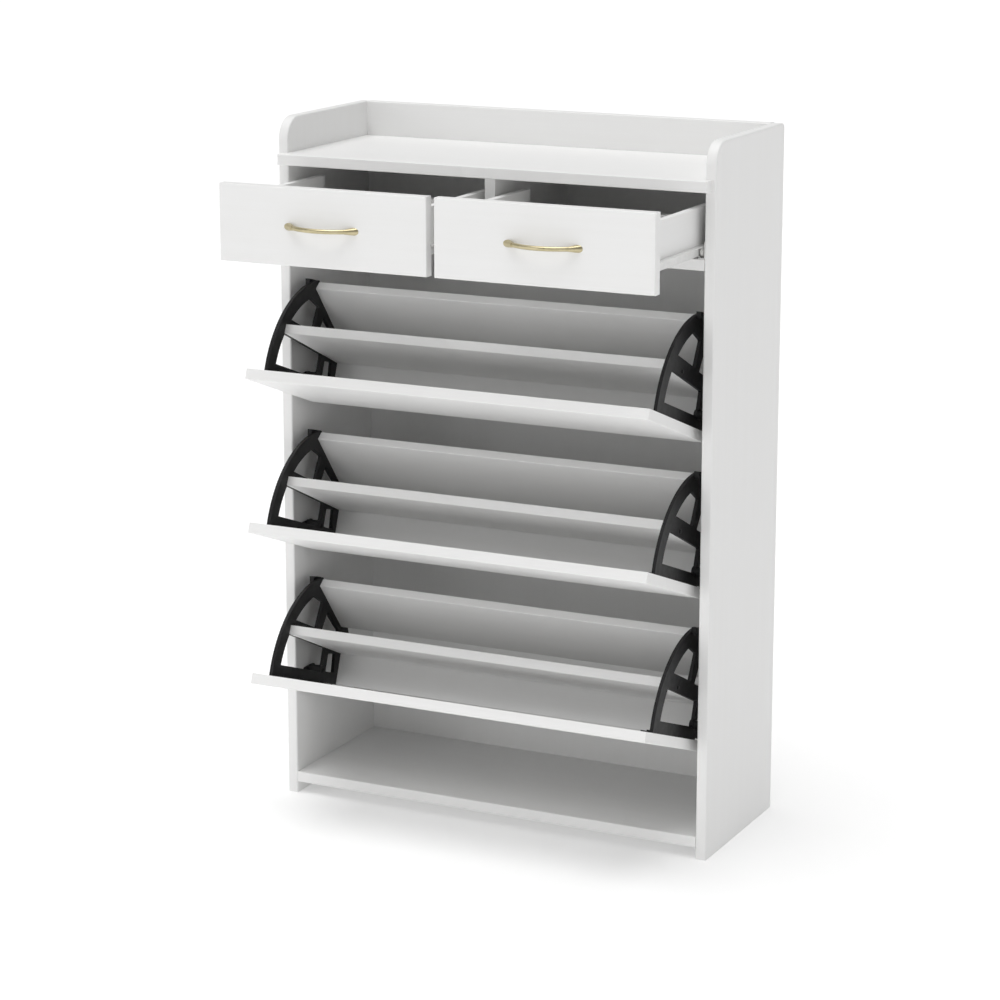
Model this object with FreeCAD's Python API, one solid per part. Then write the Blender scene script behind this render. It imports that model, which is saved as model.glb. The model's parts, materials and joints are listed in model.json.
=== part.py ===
import FreeCAD, Part
import math
import os

V = FreeCAD.Vector

# Shoe cabinet with two drawers over three tilt-out shoe bins. Millimetres, +Z up, +Y to the back.
# Sizes below are measured from the front edges of the side panels (y = 0) and from the floor (z = 0).

width = 800.0
depth = 300.0
height = 1200.0
board = 19.0

inner = width / 2 - board
back_skin = 3.0
back_inset = 12.0
back_y = depth - back_inset - back_skin

top_z = 1140.0
lip = 19.0
lip_side_gap = 8.0
top_front_radius = 38.0
top_back_radius = 9.0
edge_radius = 2.0

shelf_z = 1012.0
bottom_z = 39.0

# Drawers: overlay fronts, shown pulled out to their stops.
front_thickness = 18.0
front_low = 987.0
front_high = 1115.5
front_inner = 7.0
front_outer = 388.0
drawer_out = 197.0
drawer_length = 278.0
drawer_low = 1017.0
drawer_high = 1094.0
drawer_back_high = 1068.0
drawer_board = 12.0
drawer_floor = 3.0
runner_gap = 12.8
runner_length = 250.0
runner_sheet = 1.2
runner_setback = 2.0
runner_lift = 0.3

front_mid = (front_inner + front_outer) / 2
front_mid_z = (front_low + front_high) / 2
handle_centres = 116.0
handle_reach = 27.0
handle_bar = 3.8
handle_foot = 7.3
handle_flare = 22.0
handle_screw_inset = 1.5

screw_radius = 1.8
screw_head = 1.8
screw_head_radius = 3.4
screw_sink = 1.5
small_screw_radius = 1.6
small_head_radius = 2.6

# Rollers of the drawer runners.
roller_low = 3.4
roller_high = 9.4
cabinet_roller = 8.0
drawer_roller = 7.5
axle = 2.0
axle_gap = 0.05
cabinet_roller_y = 12.0
drawer_roller_y = 241.0
roll_gap = 0.05
flange_under = shelf_z + 18.95
front_axle_z = flange_under - roll_gap - cabinet_roller
rear_axle_z = shelf_z + runner_lift + runner_sheet + roll_gap + drawer_roller

# Tilt-out bins: each turns on two pins and is shown tilted open.
tilt = 70.0
bin_pitch = 264.5
pivot_y = 43.0
pivot_z = 748.0
door_half = 365.0
door_thickness = 18.0
door_low = -14.0
door_high = 224.0
bin_board = 16.0
plate_in = 352.0
plate_out = 358.0
door_face = door_thickness - pivot_y
pin = 4.0
pin_gap = 0.05
boss = 7.5
collar_radius = 8.5

rim_centre = (-14.7, -6.1)
rim_radius = 184.0
window_radius = 159.0
stop_tab = 8.0

# The frame's origin is on the floor, midway between the handles' tips and the back edges.
reach = drawer_out + front_thickness + handle_reach
shift = V(0, (reach - depth) / 2, 0)

names = ["top", "middle", "bottom"]
parts = {}


def box(x0, x1, y0, y1, z0, z1):
    low = V(min(x0, x1), min(y0, y1), min(z0, z1))
    return Part.makeBox(abs(x1 - x0), abs(y1 - y0), abs(z1 - z0), low)


def rod_x(x0, x1, y, z, r):
    return Part.makeCylinder(r, abs(x1 - x0), V(min(x0, x1), y, z), V(1, 0, 0))


def rod_y(x, y0, y1, z, r):
    return Part.makeCylinder(r, abs(y1 - y0), V(x, min(y0, y1), z), V(0, 1, 0))


def rod_z(x, y, z0, z1, r):
    return Part.makeCylinder(r, abs(z1 - z0), V(x, y, min(z0, z1)), V(0, 0, 1))


def cut_all(shape, tools):
    return shape.cut(Part.makeCompound(tools)) if tools else shape


def soften(shape, radius, chosen):
    edges = [e for e in shape.Edges if chosen(e)]
    return shape.makeFillet(radius, edges)


def in_front(y):
    return lambda e: e.BoundBox.YMax < y + 0.01


def along_x(edge):
    return edge.BoundBox.XLength > 50


def rounded_face(points, radius):
    """A flat face in the YZ plane at x = 0 with every corner rounded."""
    corners = [V(0, y, z) for y, z in points]
    lines = []
    ends = []
    for i, corner in enumerate(corners):
        before = (corners[i - 1] - corner).normalize()
        after = (corners[(i + 1) % len(corners)] - corner).normalize()
        half = before.getAngle(after) / 2
        run = radius / math.tan(half)
        start = corner + before * run
        finish = corner + after * run
        middle = corner + (before + after).normalize() * (radius / math.sin(half) - radius)
        ends.append((start, middle, finish))
    for i, (start, middle, finish) in enumerate(ends):
        lines.append(Part.Arc(start, middle, finish).toShape())
        lines.append(Part.LineSegment(finish, ends[(i + 1) % len(ends)][0]).toShape())
    return Part.Face(Part.Wire(lines))


def slab(points, radius, x0, x1):
    shape = rounded_face(points, radius).extrude(V(abs(x1 - x0), 0, 0))
    shape.translate(V(min(x0, x1), 0, 0))
    return shape


# ---------------------------------------------------------------- carcass

board_levels = (bottom_z, shelf_z, top_z)
bolt_rows = (42.0, 243.0)
bolt_radius = 3.0
bolt_in_panel = 11.0
bolt_in_board = 22.0
lock_radius = 7.5
lock_depth = 13.0
lock_inset = 31.5
dowel_radius = 4.0
dowel_in_panel = 10.0
dowel_in_board = 20.0
dowel_y = 142.0
nails_per_row = 7
nail_pitch = 110.0
nail_radius = 1.0
nail_length = 17.0
nail_head = 0.8
nail_head_radius = 2.4


def cam_bolts():
    pins = []
    for level in board_levels:
        for side in (-1, 1):
            for y in bolt_rows:
                far = side * (inner + bolt_in_panel)
                near = side * (inner - bolt_in_board)
                pins.append(rod_x(far, near, y, level - board / 2, bolt_radius))
    return pins


def cam_discs():
    discs = []
    for level in board_levels:
        for side in (-1, 1):
            for y in bolt_rows:
                low = level - board
                discs.append(rod_z(side * (inner - lock_inset), y, low, low + lock_depth, lock_radius))
    return discs


def dowels():
    pins = []
    for side in (-1, 1):
        far = side * (inner + dowel_in_panel)
        near = side * (inner - dowel_in_board)
        for level in board_levels:
            pins.append(rod_x(far, near, dowel_y, level - board / 2, dowel_radius))
        pins.append(rod_x(far, near, depth - board / 2, top_z + 30, dowel_radius))
    for y in (60, 220):
        pins.append(rod_z(0, y, shelf_z - board / 2, shelf_z + dowel_in_board, dowel_radius))
        low = top_z - board - dowel_in_board
        pins.append(rod_z(0, y, low, top_z - board / 2, dowel_radius))
    return pins


def back_nails():
    nails = []
    for level in (bottom_z, shelf_z):
        for i in range(nails_per_row):
            x = nail_pitch * (i - (nails_per_row - 1) / 2)
            z = level - board / 2
            surface = back_y + back_skin
            shank = rod_y(x, surface - nail_length, surface, z, nail_radius)
            head = rod_y(x, surface, surface + nail_head, z, nail_head_radius)
            nails.append(shank.fuse(head))
    return nails


def side_panel(side):
    outline = rounded_side()
    panel = outline.extrude(V(board, 0, 0))
    panel.translate(V(inner if side > 0 else -width / 2, 0, 0))
    upright = lambda e: e.BoundBox.YMax < 0.01 and e.BoundBox.ZLength > 500
    return soften(panel, 3.0, upright)


def rounded_side():
    low_front = V(0, 0, 0)
    low_back = V(0, depth, 0)
    back = V(0, depth, height - top_back_radius)
    back_top = V(0, depth - top_back_radius, height)
    front_top = V(0, top_front_radius, height)
    front = V(0, 0, height - top_front_radius)
    k = 1 - math.sqrt(0.5)
    back_mid = V(0, depth - top_back_radius * k, height - top_back_radius * k)
    front_mid_point = V(0, top_front_radius * k, height - top_front_radius * k)
    edges = [
        Part.LineSegment(low_front, low_back).toShape(),
        Part.LineSegment(low_back, back).toShape(),
        Part.Arc(back, back_mid, back_top).toShape(),
        Part.LineSegment(back_top, front_top).toShape(),
        Part.Arc(front_top, front_mid_point, front).toShape(),
        Part.LineSegment(front, low_front).toShape(),
    ]
    return Part.Face(Part.Wire(edges))


def top_board():
    ear = width / 2 - lip_side_gap
    low = top_z - board
    panel = box(-inner, inner, 0, depth, low, top_z)
    nose = box(-ear, ear, -lip, 0, low, top_z)
    nose = soften(nose, edge_radius, in_front(-lip))
    return panel.fuse(nose).removeSplitter()


def flat_board(x0, x1, y0, y1, z0, z1):
    panel = box(x0, x1, y0, y1, z0, z1)
    return soften(panel, edge_radius, lambda e: in_front(y0)(e) and along_x(e))


def divider():
    return box(-board / 2, board / 2, 0, back_y, shelf_z, top_z - board)


def gallery_rail():
    rail = box(-inner, inner, depth - board, depth, top_z, height)
    return soften(rail, edge_radius, lambda e: along_x(e) and e.BoundBox.ZMin > height - 0.01)


def make_carcass():
    bolts = cam_bolts()
    discs = cam_discs()
    pegs = dowels()
    nails = back_nails()
    screws = runner_screws() + plate_screws()
    drill = bolts + discs + pegs + nails
    for side, label in ((-1, "left"), (1, "right")):
        parts["side_panel_" + label] = cut_all(side_panel(side), bolts + pegs + screws)
    parts["top_board"] = cut_all(top_board(), drill)
    parts["gallery_rail"] = cut_all(gallery_rail(), pegs)
    parts["drawer_shelf"] = cut_all(
        flat_board(-inner, inner, 0, back_y, shelf_z - board, shelf_z), drill)
    parts["bottom_board"] = cut_all(
        flat_board(-inner, inner, 0, back_y, bottom_z - board, bottom_z), drill)
    parts["drawer_divider"] = cut_all(divider(), pegs + screws)
    skin = box(-inner, inner, back_y, back_y + back_skin, bottom_z - board, top_z - board)
    parts["back_panel"] = cut_all(skin, nails)
    parts["cam_bolts"] = Part.makeCompound(bolts)
    parts["cam_locks"] = Part.makeCompound(discs)
    parts["dowels"] = Part.makeCompound(pegs)
    parts["back_nails"] = Part.makeCompound(nails)
    parts["wall_screws"] = Part.makeCompound(screws)


# ---------------------------------------------------------------- drawer runners

def drawer_faces(side):
    """The two cabinet faces beside a drawer, each with the way that leads from drawer to face."""
    if side > 0:
        return ((board / 2, -1), (inner, 1))
    return ((-inner, -1), (-board / 2, 1))


def gap_box(face, way, u0, u1, y0, y1, z0, z1):
    return box(face - way * u0, face - way * u1, y0, y1, z0, z1)


def cabinet_runner(face, way):
    low = shelf_z + runner_lift
    high = low + 27.7
    front = runner_setback
    rear = runner_setback + runner_length
    web = gap_box(face, way, 0, runner_sheet, front, rear, low, high)
    sole = gap_box(face, way, 0, 10.8, front, rear, low, low + runner_sheet)
    rim = gap_box(face, way, 9.8, 10.8, front, rear, low, low + 3.7)
    roof = gap_box(face, way, 0, 8.0, 30, rear, high - runner_sheet, high)
    stop = gap_box(face, way, roller_low, 10.8, 33.4, 36.0, low, low + 5.5)
    spindle = rod_x(face, face - way * 9.7, cabinet_roller_y, front_axle_z, axle)
    runner = web.multiFuse([sole, rim, roof, stop, spindle])
    return cut_all(runner.removeSplitter(), runner_screws())


def drawer_runner(face, way):
    top = flange_under + runner_sheet
    low = drawer_low - runner_sheet
    skin = runner_gap - runner_sheet
    wall = gap_box(face, way, skin, runner_gap, 0, runner_length, low, top)
    sole = gap_box(face, way, skin, runner_gap + 11, 0, runner_length, low, drawer_low)
    track = gap_box(face, way, 3.2, skin, 0, runner_length, flange_under, top)
    spindle = rod_x(face - way * skin, face - way * 3.1, drawer_roller_y, rear_axle_z, axle)
    return wall.multiFuse([sole, track, spindle]).removeSplitter()


def roller(face, way, y, z, radius):
    x0 = face - way * roller_low
    x1 = face - way * roller_high
    wheel = rod_x(x0, x1, y, z, radius)
    wheel = soften(wheel, 0.8, lambda e: abs(e.Length - 2 * math.pi * radius) < 0.01)
    return wheel.cut(rod_x(x0, x1, y, z, axle + axle_gap))


def runner_screws():
    screws = []
    for side in (-1, 1):
        for face, way in drawer_faces(side):
            for y in (75, 210):
                surface = face - way * runner_sheet
                head = rod_x(surface, surface - way * 1.3, y, shelf_z + 22, small_head_radius)
                shank = rod_x(surface, face + way * 8, y, shelf_z + 22, small_screw_radius)
                screws.append(head.fuse(shank))
    return screws


# ---------------------------------------------------------------- drawers

def drawer_box_x(side):
    near = side * (board / 2 + runner_gap)
    far = side * (inner - runner_gap)
    return near, far


def handle_holes(side):
    half = handle_centres / 2 - handle_screw_inset
    return [side * front_mid - half, side * front_mid + half]


def handle_screws(side):
    screws = []
    for x in handle_holes(side):
        shank = rod_y(x, -front_thickness - 5, 0, front_mid_z, 1.9)
        head = rod_y(x, 0, 2.4, front_mid_z, 4.2)
        screws.append(shank.fuse(head))
    return screws


def handle(side):
    """An arched pull: a bowed bar whose ends flare out where they meet the drawer front."""
    mid = side * front_mid
    face = -front_thickness
    half = handle_centres / 2
    crest = face - handle_reach + handle_bar
    start = V(mid - half, face, front_mid_z)
    finish = V(mid + half, face, front_mid_z)
    arc = Part.Arc(start, V(mid, crest, front_mid_z), finish).toShape()
    leave = arc.tangentAt(arc.FirstParameter)
    arrive = arc.tangentAt(arc.LastParameter)
    ring = Part.Wire([Part.makeCircle(handle_bar, start, leave)])
    bar = Part.Wire([arc]).makePipeShell([ring], True, False)
    whole = bar.multiFuse([flare(start, leave), flare(finish, arrive * -1)])
    behind = box(mid - 100, mid + 100, face, face + 30, front_mid_z - 30, front_mid_z + 30)
    whole = whole.cut(behind).removeSplitter()
    return cut_all(whole, handle_screws(side))


def flare(end, outward):
    buried = handle_flare / 3
    return Part.makeCone(handle_foot, handle_bar + 0.05, handle_flare, end - outward * buried, outward)


def drawer_screws(side):
    near, far = drawer_box_x(side)
    screws = []
    y = drawer_length - drawer_board / 2
    for x, way in ((near, side), (far, -side)):
        for z in (drawer_low + 19, drawer_back_high - 10):
            head = rod_x(x, x + way * screw_sink, y, z, screw_head_radius)
            shank = rod_x(x + way * screw_sink, x + way * 34, y, z, screw_radius)
            screws.append(head.fuse(shank))
    return screws


def drawer_panel(side):
    near, far = drawer_box_x(side)
    z = drawer_low + 6
    grip = 5.0
    inset = side * (drawer_board - grip)
    return box(near + inset, far - inset, -grip, drawer_length, z, z + drawer_floor)


def make_drawer(side, label):
    near, far = drawer_box_x(side)
    panel = drawer_panel(side)
    screws = drawer_screws(side)
    pulls = handle_screws(side)
    front = box(side * front_inner, side * front_outer, -front_thickness, 0, front_low, front_high)
    front = soften(front, 1.5, in_front(-front_thickness))
    made = {
        "front": cut_all(front, [panel] + pulls),
        "bottom": panel,
        "handle": handle(side),
        "screws": Part.makeCompound(pulls + screws),
    }
    for x, way, place in ((near, side, "inner"), (far, -side, "outer")):
        wall = box(x, x + way * drawer_board, 0, drawer_length, drawer_low, drawer_high)
        wall = soften(wall, 1.5, lambda e: e.BoundBox.YLength > 50 and e.BoundBox.ZMin > drawer_high - 1)
        made["side_" + place] = cut_all(wall, [panel] + screws)
    gap = side * drawer_board
    back_low = drawer_low + 6 + drawer_floor
    rear = box(near + gap, far - gap, drawer_length - drawer_board, drawer_length, back_low,
               drawer_back_high)
    made["back"] = cut_all(rear, screws)
    faces = drawer_faces(side)
    made["runners"] = Part.makeCompound([drawer_runner(f, w) for f, w in faces])
    made["rear_rollers"] = Part.makeCompound(
        [roller(f, w, drawer_roller_y, rear_axle_z, drawer_roller) for f, w in faces])
    for name, shape in made.items():
        shape.translate(V(0, -drawer_out, 0))
        parts["drawer_" + label + "_" + name] = shape
    parts["cabinet_runners_" + label] = Part.makeCompound([cabinet_runner(f, w) for f, w in faces])
    parts["front_rollers_" + label] = Part.makeCompound(
        [roller(f, w, cabinet_roller_y, front_axle_z, cabinet_roller) for f, w in faces])


# ---------------------------------------------------------------- tilt-out bins
# Bin shapes are drawn closed, with y and z measured from the bin's own pivot, then tilted.

fan_outline = [(door_face, 200), (160, 200), (160, 50), (96, -55), (87, -66), (74, -76),
               (-10, -76), (-22, -60), (-22, -15), (door_face, -13)]
fan_windows = [
    [(70, 44), (79.5, 150), (142.5, 150), (116.5, 36)],
    [(-4, 2), (-4, 170), (53, 170), (38.5, 2)],
]
strut_windows = [
    [(101.5, 15), (66.5, 26), (62.5, -36), (74, -36)],
    [(-2, -12), (30, -12), (32, -38), (-2, -43)],
]
tab_outline = [(146, 71), (158, 75), (160.5, 47), (150, 50)]
flange_width = 18.0
flange_skin = 2.5


def spoke(angle, r0, r1, wide, x0, x1):
    arm = box(x0, x1, r0, r1, -wide / 2, wide / 2)
    arm.rotate(V(0, 0, 0), V(1, 0, 0), angle)
    return arm


closed_arm = -125.0
arm_step = 29.9
arm_end = 18.0
lug_start = 14.0
lug_width = 6.0
lug_reach = 12.0
plate_skin = 3.0
plate_screw_drop = 23.0


def pivot_plate(side):
    face = side * inner
    lugs = face - side * lug_reach
    plate = slab([(-19, 5), (19, 5), (19, -30), (-19, -30)], 5, face, face - side * plate_skin)
    post = rod_x(face, side * (plate_in + 1), 0, 0, pin)
    low = spoke(closed_arm - arm_step, lug_start, arm_end, lug_width, face, lugs)
    high = spoke(closed_arm + tilt + arm_step, lug_start, arm_end, lug_width, face, lugs)
    return plate.multiFuse([post, low, high]).removeSplitter()


def local_plate_screws(side):
    screws = []
    surface = side * (inner - plate_skin)
    for y in (-8, 8):
        head = rod_x(surface, surface - side * 1.2, y, -plate_screw_drop, small_head_radius)
        shank = rod_x(surface, surface + side * 14, y, -plate_screw_drop, small_screw_radius)
        screws.append(head.fuse(shank))
    return screws


def plate_screws():
    screws = []
    for i in range(3):
        for side in (-1, 1):
            for screw in local_plate_screws(side):
                screw.translate(V(0, pivot_y, pivot_z - bin_pitch * i))
                screws.append(screw)
    return screws


def disc_at_rim(radius, x0, x1):
    return rod_x(x0, x1, rim_centre[0], rim_centre[1], radius)


def bracket(side):
    """Fan-shaped plastic bracket: it carries the boards and turns on the pivot pin."""
    x0 = side * plate_in
    x1 = side * plate_out
    plate = slab(fan_outline, 0.5, x0, x1).common(disc_at_rim(rim_radius, x0, x1))
    inside = disc_at_rim(window_radius, x0, x1)
    for corners in fan_windows:
        plate = plate.cut(slab(corners, 3, x0, x1).common(inside))
    for corners in strut_windows:
        plate = plate.cut(slab(corners, 2, x0, x1))
    tab = slab(tab_outline, 0.5, x1, x1 + side * stop_tab)
    flange = box(x0, side * (plate_in - flange_width), door_face, door_face + flange_skin, -11, 172)
    bore_end = side * (inner - plate_skin - 0.4)
    knuckle = rod_x(x1, bore_end, 0, 0, boss)
    collar = rod_x(x0, x1, 0, 0, collar_radius)
    arm = spoke(closed_arm, 5, arm_end, 8, side * (inner - plate_skin - 0.7), side * (inner - 13))
    solid = plate.multiFuse([tab, flange, collar, knuckle, arm]).removeSplitter()
    return solid.cut(rod_x(x0, bore_end, 0, 0, pin + pin_gap))


mid_low = (42.5, -57.3)
mid_high = (59.0, 140.0)
rear_low = (88.0, -48.7)
rear_high = (150.8, 53.5)
floor_front = (-21.0, -66.5)
floor_rear = (70.0, -66.5)
bin_boards = {
    "mid_board": (mid_low, mid_high),
    "rear_board": (rear_low, rear_high),
    "floor_board": (floor_front, floor_rear),
}


def slant_board(ends):
    """A flat board whose thickness is centred on the line between the two ends."""
    (y0, z0), (y1, z1) = ends
    length = math.hypot(y1 - y0, z1 - z0)
    angle = math.degrees(math.atan2(z1 - z0, y1 - y0))
    panel = box(-plate_in, plate_in, 0, length, -bin_board / 2, bin_board / 2)
    panel = soften(panel, 1.2, lambda e: along_x(e) and e.BoundBox.YMin > length - 0.01)
    panel.rotate(V(0, 0, 0), V(1, 0, 0), angle)
    panel.translate(V(0, y0, z0))
    return panel


def bin_screws():
    screws = []
    for side in (-1, 1):
        for z in (14, 88, 160):
            x = side * (plate_in - flange_width / 2)
            surface = door_face + flange_skin
            head = rod_y(x, surface, surface + screw_head, z, screw_head_radius)
            shank = rod_y(x, door_face - 12, surface, z, screw_radius)
            screws.append(head.fuse(shank))
        for (y0, z0), (y1, z1) in bin_boards.values():
            for share in (0.22, 0.78):
                y = y0 + (y1 - y0) * share
                z = z0 + (z1 - z0) * share
                head = rod_x(side * plate_out, side * (plate_out + screw_head), y, z, screw_head_radius)
                shank = rod_x(side * plate_out, side * (plate_in - 24), y, z, screw_radius)
                screws.append(head.fuse(shank))
    return screws


def door():
    face = door_face - door_thickness
    panel = box(-door_half, door_half, face, door_face, door_low, door_high)
    return soften(panel, 1.5, in_front(face))


def make_bin(index, label):
    screws = bin_screws()
    made = {"door": cut_all(door(), screws)}
    for name, ends in bin_boards.items():
        made[name] = cut_all(slant_board(ends), screws)
    made["bracket_left"] = cut_all(bracket(-1), screws)
    made["bracket_right"] = cut_all(bracket(1), screws)
    made["screws"] = Part.makeCompound(screws)
    place = V(0, pivot_y, pivot_z - bin_pitch * index)
    for name, shape in made.items():
        shape.rotate(V(0, 0, 0), V(1, 0, 0), tilt)
        shape.translate(place)
        parts["bin_" + label + "_" + name] = shape
    plates = [cut_all(pivot_plate(s), local_plate_screws(s)) for s in (-1, 1)]
    pair = Part.makeCompound(plates)
    pair.translate(place)
    parts["pivot_plates_" + label] = pair


make_carcass()
make_drawer(-1, "left")
make_drawer(1, "right")
for index, label in enumerate(names):
    make_bin(index, label)

os.makedirs("parts", exist_ok=True)
for name, shape in parts.items():
    shape.translate(shift)
    if not shape.isValid():
        raise ValueError(name + " is not a valid shape")
    shape.exportStep("parts/" + name + ".step")
    print(name, len(shape.Solids), round(shape.Volume / 1000, 2), "cm3")
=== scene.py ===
import json
import math

import bpy
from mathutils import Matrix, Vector

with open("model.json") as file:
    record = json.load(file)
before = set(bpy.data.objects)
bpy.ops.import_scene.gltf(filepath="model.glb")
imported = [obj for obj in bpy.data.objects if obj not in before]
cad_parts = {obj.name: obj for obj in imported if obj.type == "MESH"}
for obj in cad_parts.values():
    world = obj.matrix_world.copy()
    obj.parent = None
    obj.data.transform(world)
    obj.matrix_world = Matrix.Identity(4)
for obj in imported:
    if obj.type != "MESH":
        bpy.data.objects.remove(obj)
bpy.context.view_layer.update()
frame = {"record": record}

MM = 0.001

# The camera stands in front, to the cabinet's right and a little above its top. Metres and radians.
camera_place = (2.1875, -4.466, 1.7923)
camera_pitch = 0.2246
camera_turn = 0.4557
camera_lens = 109.1
camera_shift = (0.003, -0.05)

floor_reach = 120.0
floor_tone = 0.93
floor_glow = 0.185

# Most of a noise texture's values lie between these two.
noise_low = 0.3
noise_high = 0.7

# ---------------------------------------------------------------- nodes of the frame

slots = {entry["node"]: entry["material_slot"] for entry in frame["record"]["subparts"]}
nodes = {name: bpy.data.objects[name] for name in slots}

# ---------------------------------------------------------------- materials


def new_material(name):
    material = bpy.data.materials.new(name)
    material.use_nodes = True
    tree = material.node_tree
    shader = tree.nodes["Principled BSDF"]
    return material, tree, shader


def add_node(tree, kind, **values):
    node = tree.nodes.new(kind)
    for key, value in values.items():
        setattr(node, key, value)
    return node


def stretched_noise(tree, scale, detail=4.0, rough=0.55):
    """Noise in object space, drawn out by the three scales."""
    place = add_node(tree, "ShaderNodeTexCoord")
    mapping = add_node(tree, "ShaderNodeMapping")
    mapping.inputs["Scale"].default_value = scale
    noise = add_node(tree, "ShaderNodeTexNoise")
    noise.inputs["Scale"].default_value = 1.0
    noise.inputs["Detail"].default_value = detail
    noise.inputs["Roughness"].default_value = rough
    tree.links.new(place.outputs["Object"], mapping.inputs["Vector"])
    tree.links.new(mapping.outputs["Vector"], noise.inputs["Vector"])
    return noise


def ramp(tree, source, low, high, low_at=0.35, high_at=0.65):
    node = add_node(tree, "ShaderNodeValToRGB")
    stops = node.color_ramp.elements
    stops[0].position = low_at
    stops[0].color = (*low, 1)
    stops[1].position = high_at
    stops[1].color = (*high, 1)
    tree.links.new(source, node.inputs["Fac"])
    return node


def spread(tree, source, low, high):
    node = add_node(tree, "ShaderNodeMapRange")
    node.inputs["From Min"].default_value = noise_low
    node.inputs["From Max"].default_value = noise_high
    node.inputs["To Min"].default_value = low
    node.inputs["To Max"].default_value = high
    tree.links.new(source, node.inputs["Value"])
    return node


def bump(tree, source, distance, strength, after=None):
    node = add_node(tree, "ShaderNodeBump")
    node.inputs["Distance"].default_value = distance
    node.inputs["Strength"].default_value = strength
    tree.links.new(source, node.inputs["Height"])
    if after is not None:
        tree.links.new(after.outputs["Normal"], node.inputs["Normal"])
    return node


def along_grain(grain, across, along):
    """Texture scales per metre: fine across the grain and drawn out along its axis (0, 1 or 2)."""
    return [along if axis == grain else across for axis in range(3)]


def melamine(name, grain, tone=0.89):
    """White woodgrain melamine. The grain runs along one axis: 0, 1 or 2."""
    material, tree, shader = new_material(name)
    fine = along_grain(grain, 620.0, 9.0)
    broad = along_grain(grain, 60.0, 2.0)
    lines = stretched_noise(tree, fine, detail=6.0, rough=0.7)
    bands = stretched_noise(tree, broad, detail=3.0)
    skin = stretched_noise(tree, (1500, 1500, 1500), detail=2.0)
    mix = add_node(tree, "ShaderNodeMath", operation="ADD")
    tree.links.new(lines.outputs["Fac"], mix.inputs[0])
    tree.links.new(bands.outputs["Fac"], mix.inputs[1])
    half = add_node(tree, "ShaderNodeMath", operation="MULTIPLY")
    half.inputs[1].default_value = 0.5
    tree.links.new(mix.outputs[0], half.inputs[0])
    warm = (tone * 0.988, tone * 0.985, tone * 0.976)
    pale = (tone * 1.006, tone * 1.006, tone * 1.0)
    colour = ramp(tree, half.outputs[0], warm, pale)
    gloss = spread(tree, lines.outputs["Fac"], 0.40, 0.52)
    grain_bump = bump(tree, lines.outputs["Fac"], 0.00012, 0.35)
    skin_bump = bump(tree, skin.outputs["Fac"], 0.00004, 0.25, grain_bump)
    tree.links.new(colour.outputs["Color"], shader.inputs["Base Color"])
    tree.links.new(gloss.outputs["Result"], shader.inputs["Roughness"])
    tree.links.new(skin_bump.outputs["Normal"], shader.inputs["Normal"])
    shader.inputs["IOR"].default_value = 1.46
    return material


def moulded_black():
    material, tree, shader = new_material("moulded_black_plastic")
    mottle = stretched_noise(tree, (90, 90, 90), detail=3.0)
    pebble = stretched_noise(tree, (1400, 1400, 1400), detail=2.0, rough=0.6)
    colour = ramp(tree, mottle.outputs["Fac"], (0.007, 0.007, 0.0075), (0.013, 0.013, 0.0135))
    gloss = spread(tree, mottle.outputs["Fac"], 0.44, 0.58)
    grain = bump(tree, pebble.outputs["Fac"], 0.0001, 0.5)
    tree.links.new(colour.outputs["Color"], shader.inputs["Base Color"])
    tree.links.new(gloss.outputs["Result"], shader.inputs["Roughness"])
    tree.links.new(grain.outputs["Normal"], shader.inputs["Normal"])
    shader.inputs["Specular IOR Level"].default_value = 0.3
    return material


def satin_brass():
    material, tree, shader = new_material("satin_brass")
    brushed = stretched_noise(tree, (40, 2600, 2600), detail=3.0, rough=0.6)
    tint = stretched_noise(tree, (70, 70, 70), detail=2.0)
    colour = ramp(tree, tint.outputs["Fac"], (0.50, 0.44, 0.27), (0.58, 0.51, 0.33))
    gloss = spread(tree, brushed.outputs["Fac"], 0.24, 0.38)
    lines = bump(tree, brushed.outputs["Fac"], 0.00003, 0.3)
    tree.links.new(colour.outputs["Color"], shader.inputs["Base Color"])
    tree.links.new(gloss.outputs["Result"], shader.inputs["Roughness"])
    tree.links.new(lines.outputs["Normal"], shader.inputs["Normal"])
    shader.inputs["Metallic"].default_value = 1.0
    return material


def coated(name, dark, pale, rough, metallic=0.0, grain=900.0, depth=0.00005):
    material, tree, shader = new_material(name)
    mottle = stretched_noise(tree, (60, 60, 60), detail=3.0)
    peel = stretched_noise(tree, (grain, grain, grain), detail=2.0)
    colour = ramp(tree, mottle.outputs["Fac"], dark, pale)
    gloss = spread(tree, peel.outputs["Fac"], rough * 0.85, rough * 1.15)
    skin = bump(tree, peel.outputs["Fac"], depth, 0.4)
    tree.links.new(colour.outputs["Color"], shader.inputs["Base Color"])
    tree.links.new(gloss.outputs["Result"], shader.inputs["Roughness"])
    tree.links.new(skin.outputs["Normal"], shader.inputs["Normal"])
    shader.inputs["Metallic"].default_value = metallic
    return material


board_x = melamine("white_melamine_across", 0)
board_y = melamine("white_melamine_deep", 1)
board_z = melamine("white_melamine_upright", 2)
finishes = {
    "back_board": melamine("white_hardboard", 2, 0.87),
    "black_plastic": moulded_black(),
    "brass": satin_brass(),
    "runner_steel": coated("white_epoxy_steel", (0.74, 0.74, 0.73), (0.80, 0.80, 0.79), 0.32),
    "nylon": coated("white_nylon", (0.66, 0.66, 0.64), (0.74, 0.74, 0.72), 0.5),
    "black_steel": coated("black_zinc", (0.02, 0.02, 0.021), (0.04, 0.04, 0.041), 0.35, 0.6),
    "zinc": coated("zinc_plate", (0.45, 0.46, 0.47), (0.62, 0.62, 0.63), 0.34, 1.0),
    "dowel_wood": coated("beech", (0.52, 0.36, 0.20), (0.64, 0.47, 0.29), 0.6, 0.0, 400.0, 0.0001),
}
upright = ("side_panel", "drawer_divider")
deep = ("_side_inner", "_side_outer")


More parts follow.
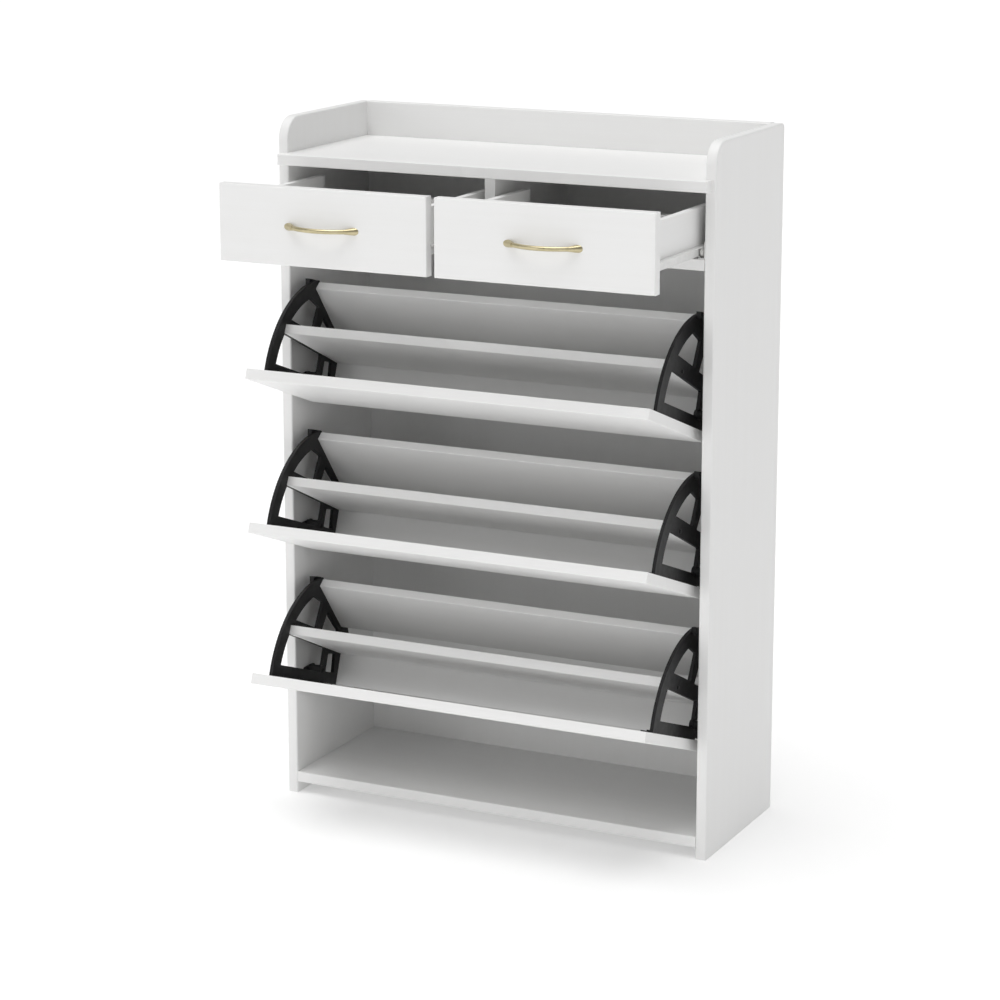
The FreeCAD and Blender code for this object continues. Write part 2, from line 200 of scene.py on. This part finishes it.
def finish_for(name):
    slot = slots[name]
    if slot != "white_board":
        return finishes[slot]
    if any(word in name for word in deep):
        return board_y
    if any(word in name for word in upright):
        return board_z
    return board_x


for name, piece in nodes.items():
    piece.data.materials.clear()
    piece.data.materials.append(finish_for(name))

# ---------------------------------------------------------------- softened edges

bevel_widths = {
    "white_board": 0.5, "back_board": 0.2, "black_plastic": 0.6, "runner_steel": 0.25,
    "nylon": 0.3, "zinc": 0.25, "black_steel": 0.3, "dowel_wood": 0.3,
}
for name, piece in nodes.items():
    width = bevel_widths.get(slots[name])
    if width is None:
        continue
    bevel = piece.modifiers.new("softened_edges", "BEVEL")
    bevel.width = width * MM
    bevel.segments = 2
    bevel.limit_method = "ANGLE"
    bevel.angle_limit = math.radians(50)

# ---------------------------------------------------------------- studio


def make_floor():
    mesh = bpy.data.meshes.new("studio_floor")
    signs = ((-1, -1), (1, -1), (1, 1), (-1, 1))
    corners = [(x * floor_reach, y * floor_reach, 0) for x, y in signs]
    mesh.from_pydata(corners, [], [(0, 1, 2, 3)])
    floor = bpy.data.objects.new("studio_floor", mesh)
    bpy.context.collection.objects.link(floor)
    material, tree, shader = new_material("pale_floor")
    shader.inputs["Base Color"].default_value = (floor_tone, floor_tone, floor_tone, 1)
    shader.inputs["Roughness"].default_value = 0.9
    shader.inputs["Specular IOR Level"].default_value = 0.1
    shader.inputs["Emission Color"].default_value = (1, 1, 1, 1)
    shader.inputs["Emission Strength"].default_value = floor_glow
    mesh.materials.append(material)


def make_world(horizon, zenith, glow, fade_end, left, right):
    """White surroundings, brightest near the horizon, where the glow fades between two heights.

    left and right scale the brightness at the cabinet's two sides.
    """
    world = bpy.data.worlds.new("studio")
    bpy.context.scene.world = world
    world.use_nodes = True
    tree = world.node_tree
    background = tree.nodes["Background"]
    background.inputs["Color"].default_value = (1, 1, 1, 1)
    place = add_node(tree, "ShaderNodeTexCoord")
    split = add_node(tree, "ShaderNodeSeparateXYZ")
    fade = add_node(tree, "ShaderNodeMapRange", interpolation_type="SMOOTHSTEP")
    fade.inputs["From Min"].default_value = glow
    fade.inputs["From Max"].default_value = fade_end
    fade.inputs["To Min"].default_value = horizon
    fade.inputs["To Max"].default_value = zenith
    tree.links.new(place.outputs["Generated"], split.inputs[0])
    tree.links.new(split.outputs["Z"], fade.inputs["Value"])
    lean = add_node(tree, "ShaderNodeMapRange")
    lean.inputs["From Min"].default_value = -1.0
    lean.inputs["From Max"].default_value = 1.0
    lean.inputs["To Min"].default_value = left
    lean.inputs["To Max"].default_value = right
    tree.links.new(split.outputs["X"], lean.inputs["Value"])
    strength = add_node(tree, "ShaderNodeMath", operation="MULTIPLY")
    tree.links.new(fade.outputs["Result"], strength.inputs[0])
    tree.links.new(lean.outputs["Result"], strength.inputs[1])
    tree.links.new(strength.outputs[0], background.inputs["Strength"])


def make_sun(name, azimuth, elevation, strength, softness):
    """A soft light from a compass direction: azimuth 0 is the front, 90 the cabinet's right."""
    data = bpy.data.lights.new(name, "SUN")
    data.energy = strength
    data.angle = math.radians(softness)
    lamp = bpy.data.objects.new(name, data)
    a = math.radians(azimuth)
    e = math.radians(elevation)
    source = Vector((math.sin(a) * math.cos(e), -math.cos(a) * math.cos(e), math.sin(e)))
    lamp.rotation_euler = source.to_track_quat("Z", "Y").to_euler()
    bpy.context.collection.objects.link(lamp)


def make_camera():
    data = bpy.data.cameras.new("view")
    data.lens = camera_lens
    data.sensor_width = 36.0
    data.shift_x, data.shift_y = camera_shift
    data.clip_end = 500.0
    camera = bpy.data.objects.new("view", data)
    camera.location = camera_place
    camera.rotation_euler = (math.pi / 2 - camera_pitch, 0, camera_turn)
    bpy.context.collection.objects.link(camera)
    bpy.context.scene.camera = camera


make_camera()
make_floor()
make_world(0.84, 0.38, 0.10, 0.30, 1.18, 0.66)
make_sun("key", -25, 81, 1.9, 55)
make_sun("fill", -35, 9, 0.18, 25)
bpy.context.scene.view_settings.view_transform = "Standard"
